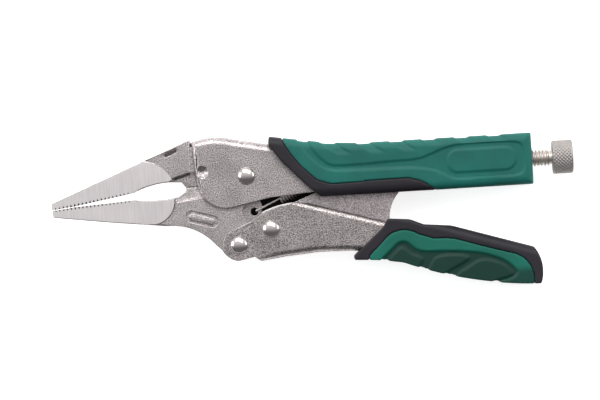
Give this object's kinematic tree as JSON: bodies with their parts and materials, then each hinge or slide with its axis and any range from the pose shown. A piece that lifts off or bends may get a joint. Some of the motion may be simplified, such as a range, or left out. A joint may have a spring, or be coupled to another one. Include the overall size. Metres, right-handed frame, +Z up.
{
  "type": "locking pliers",
  "caption": "Long-nose locking pliers with a wire cutter, an over-centre toggle linkage, a knurled adjusting screw and two-tone moulded grips.",
  "frame": {"origin": "bottom centre of the whole tool as it lies closed on its side", "axes": "+X runs from the jaws back to the adjusting knob, +Y from the lower handle to the upper handle, +Z up across the thickness"},
  "size_m": [0.2284, 0.0722, 0.022],
  "materials": {
    "nickel_forging": "satin nickel plate on a blasted forging, nose faces ground",
    "nickel_sheet": "satin nickel plate on blasted pressed sheet",
    "rivet_steel": "polished dome heads",
    "screw_steel": "nickel plated, turned and knurled",
    "spring_steel": "bright drawn wire",
    "grip_black": "matt moulded",
    "grip_green": "matt soft-touch moulded",
    "grip_green_dark": "matt soft-touch moulded"
  },
  "bodies": {
    "upper_handle_assembly": {"upper_handle": "nickel_sheet", "upper_jaw": "nickel_forging", "jaw_rivet": "rivet_steel", "upper_grip_base": "grip_black", "upper_grip_cover": "grip_green", "return_spring": "spring_steel"},
    "lower_jaw_body": {"lower_jaw": "nickel_forging"},
    "lower_handle_assembly": {"lower_handle": "nickel_sheet", "handle_rivet": "rivet_steel", "link_rivet": "rivet_steel", "lower_grip_base": "grip_black", "lower_grip_cover": "grip_green_dark"},
    "toggle_link_body": {"toggle_link": "nickel_sheet"},
    "screw_body": {"adjusting_screw": "screw_steel"},
    "knob_body": {"screw_knob": "screw_steel"}
  },
  "joints": [
    {"name": "jaw_pivot", "type": "hinge", "parent": "upper_handle_assembly", "child": "lower_jaw_body", "pos_m": [-0.02855, 0.01839, 0.011], "axis": [0, 0, 1], "range_deg": [0, 15], "deforming": ["return_spring"]},
    {"name": "handle_pivot", "type": "hinge", "parent": "lower_jaw_body", "child": "lower_handle_assembly", "pos_m": [-0.03355, -0.01141, 0.011], "axis": [0, 0, 1], "range_deg": [-63.5, 0]},
    {"name": "link_pivot", "type": "hinge", "parent": "lower_handle_assembly", "child": "toggle_link_body", "pos_m": [-0.0192, -0.00528, 0.011], "axis": [0, 0, 1], "range_deg": [0, 62.9]},
    {"name": "screw_slide", "type": "slide", "parent": "upper_handle_assembly", "child": "screw_body", "axis": [1, 0, 0], "range_m": [0, 0.02]},
    {"name": "knob_turn", "type": "hinge", "parent": "screw_body", "child": "knob_body", "pos_m": [0.10945, 0.01839, 0.011], "axis": [1, 0, 0], "range_deg": [0, 4801]}
  ],
  "couplings": [
    {"joint": "handle_pivot", "follows": "jaw_pivot", "ratio": -4.2253},
    {"joint": "link_pivot", "follows": "jaw_pivot", "ratio": 4.1874},
    {"joint": "knob_turn", "follows": "screw_slide", "rad_per_m": 4188.8}
  ]
}
